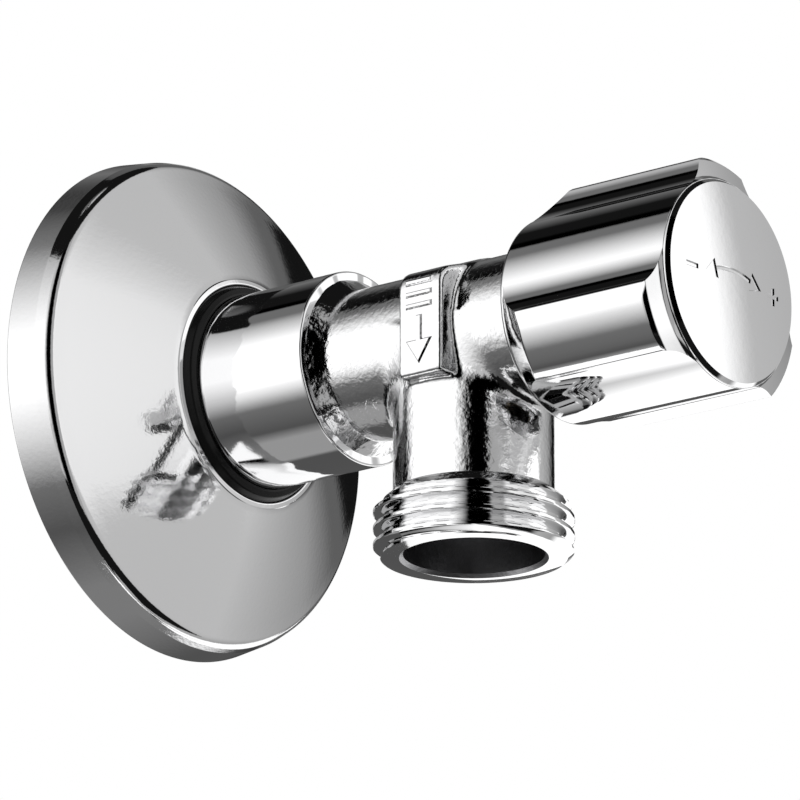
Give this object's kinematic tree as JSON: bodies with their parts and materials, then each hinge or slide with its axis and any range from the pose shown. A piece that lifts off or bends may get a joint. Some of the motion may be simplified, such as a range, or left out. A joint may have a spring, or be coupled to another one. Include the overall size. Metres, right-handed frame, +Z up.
{
  "type": "angle stop valve",
  "caption": "Chromed angle stop valve with threaded wall inlet, threaded side outlet, sliding wall rosette and ribbed turning handle.",
  "frame": {"origin": "where the inlet thread's axis meets the wall plane, at the shoulder of the inlet thread", "axes": "+Z up, -Y out of the wall along the valve axis towards the handle, outlet pointing down -Z, +X to the right when facing the wall"},
  "size_m": [0.0552, 0.0872, 0.0552],
  "materials": {
    "chrome_cast": "chrome plated, polished neck and threads, slightly mottled casting",
    "chrome_sheet": "bright chrome on pressed sheet",
    "chrome_handle": "bright chrome, mirror polished",
    "chrome_cap": "bright chrome with a fine engraved open and close mark",
    "black_rubber": "smooth black rubber",
    "white_seal": "white sealing plastic",
    "brass": "turned brass",
    "fibre": "red sealing fibre",
    "spring_steel": "bright steel"
  },
  "bodies": {
    "valve": {"valve_body": "chrome_cast", "inlet_seal_ring": "white_seal", "bonnet": "brass", "bonnet_seal": "fibre"},
    "rosette": {"wall_rosette": "chrome_sheet", "rosette_grip_ring": "black_rubber"},
    "handle": {"handle_shell": "chrome_handle", "handle_insert": "brass", "lock_washer": "spring_steel", "handle_screw": "spring_steel", "handle_cap": "chrome_cap", "spindle": "brass", "spindle_oring_inner": "black_rubber", "spindle_oring_outer": "black_rubber", "thrust_washer": "white_seal", "spindle_circlip": "spring_steel"},
    "piston": {"piston": "brass", "piston_oring": "black_rubber", "seat_washer": "black_rubber", "washer_screw": "brass"}
  },
  "joints": [
    {"name": "handle_turn", "type": "hinge", "parent": "valve", "child": "handle", "pos_m": [0, -0.06, 0], "axis": [0, -1, 0], "range_deg": [0, 990]},
    {"name": "piston_lift", "type": "slide", "parent": "valve", "child": "piston", "axis": [0, -1, 0], "range_m": [0, 0.0042]},
    {"name": "rosette_slide", "type": "slide", "parent": "valve", "child": "rosette", "axis": [0, -1, 0], "range_m": [0, 0.0125]}
  ],
  "couplings": [
    {"joint": "piston_lift", "follows": "handle_turn", "m_per_rad": 0.00023873}
  ]
}
